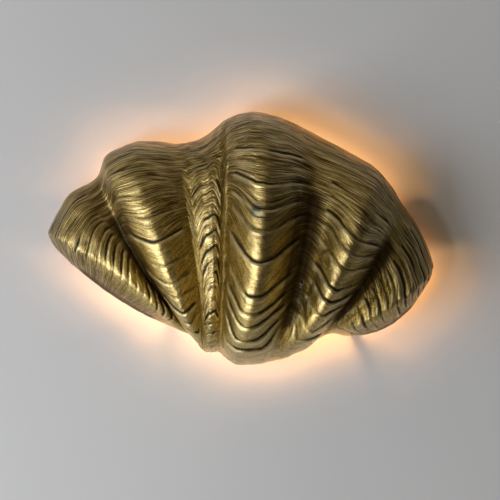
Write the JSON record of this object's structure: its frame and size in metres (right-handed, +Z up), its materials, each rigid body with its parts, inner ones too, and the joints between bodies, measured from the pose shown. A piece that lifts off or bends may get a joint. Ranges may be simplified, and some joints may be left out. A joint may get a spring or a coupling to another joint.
{
  "type": "shell wall sconce",
  "caption": "Back-lit wall light: a hollow cast brass clam valve with deep ribs, hooked over push-in lamps on a steel wall plate.",
  "frame": {"origin": "centre of the wall plate's rear face, on the wall", "axes": "+Z up, +X to the viewer's right, +Y into the wall"},
  "size_m": [0.4537, 0.1486, 0.2982],
  "materials": {
    "cast_brass": "antique cast brass, dark crevices and worn crests",
    "zinc_steel": "zinc plated",
    "brass_hardware": "turned brass",
    "plate_paint": "satin white powder coat",
    "rubber_black": "matt",
    "rubber_grey": "matt",
    "holder_ceramic": "unglazed steatite",
    "bulb_glass": "frosted, lit warm white",
    "bulb_base": "matt",
    "nickel": "nickel plated",
    "block_plastic": "matt nylon",
    "lead_brown": "silicone sleeve",
    "lead_blue": "silicone sleeve",
    "lead_green": "silicone sleeve"
  },
  "bodies": {
    "wall_unit": {"wall_plate": "plate_paint", "hook_bushes": "brass_hardware", "hook_nuts": "zinc_steel", "hook_screws": "zinc_steel", "lamp_bracket": "zinc_steel", "bracket_screws": "zinc_steel", "lampholder_left": "holder_ceramic", "lampholder_right": "holder_ceramic", "holder_screws": "zinc_steel", "holder_contacts": "nickel", "terminal_block": "block_plastic", "terminal_screws": "nickel", "block_screw": "zinc_steel", "earth_tag": "brass_hardware", "earth_washer": "zinc_steel", "earth_screw": "zinc_steel", "cable_grommet": "rubber_grey", "leads_live": "lead_brown", "leads_neutral": "lead_blue", "lead_earth": "lead_green"},
    "cover": {"shell": "cast_brass", "hanger_left": "zinc_steel", "hanger_right": "zinc_steel", "hanger_washers": "zinc_steel", "hanger_screws": "zinc_steel", "spacer_posts": "brass_hardware", "spacer_tips": "rubber_black"},
    "bulb_left": {"bulb_left_base": "bulb_base", "bulb_left_pins": "nickel", "bulb_left_glass": "bulb_glass"},
    "bulb_right": {"bulb_right_base": "bulb_base", "bulb_right_pins": "nickel", "bulb_right_glass": "bulb_glass"}
  },
  "joints": [
    {"name": "cover_lift", "type": "slide", "parent": "wall_unit", "child": "cover", "axis": [0, 0, 1], "range_m": [0, 0.014]},
    {"name": "bulb_left_pull", "type": "slide", "parent": "wall_unit", "child": "bulb_left", "axis": [-1, 0, 0], "range_m": [0, 0.01]},
    {"name": "bulb_right_pull", "type": "slide", "parent": "wall_unit", "child": "bulb_right", "axis": [1, 0, 0], "range_m": [0, 0.01]}
  ]
}
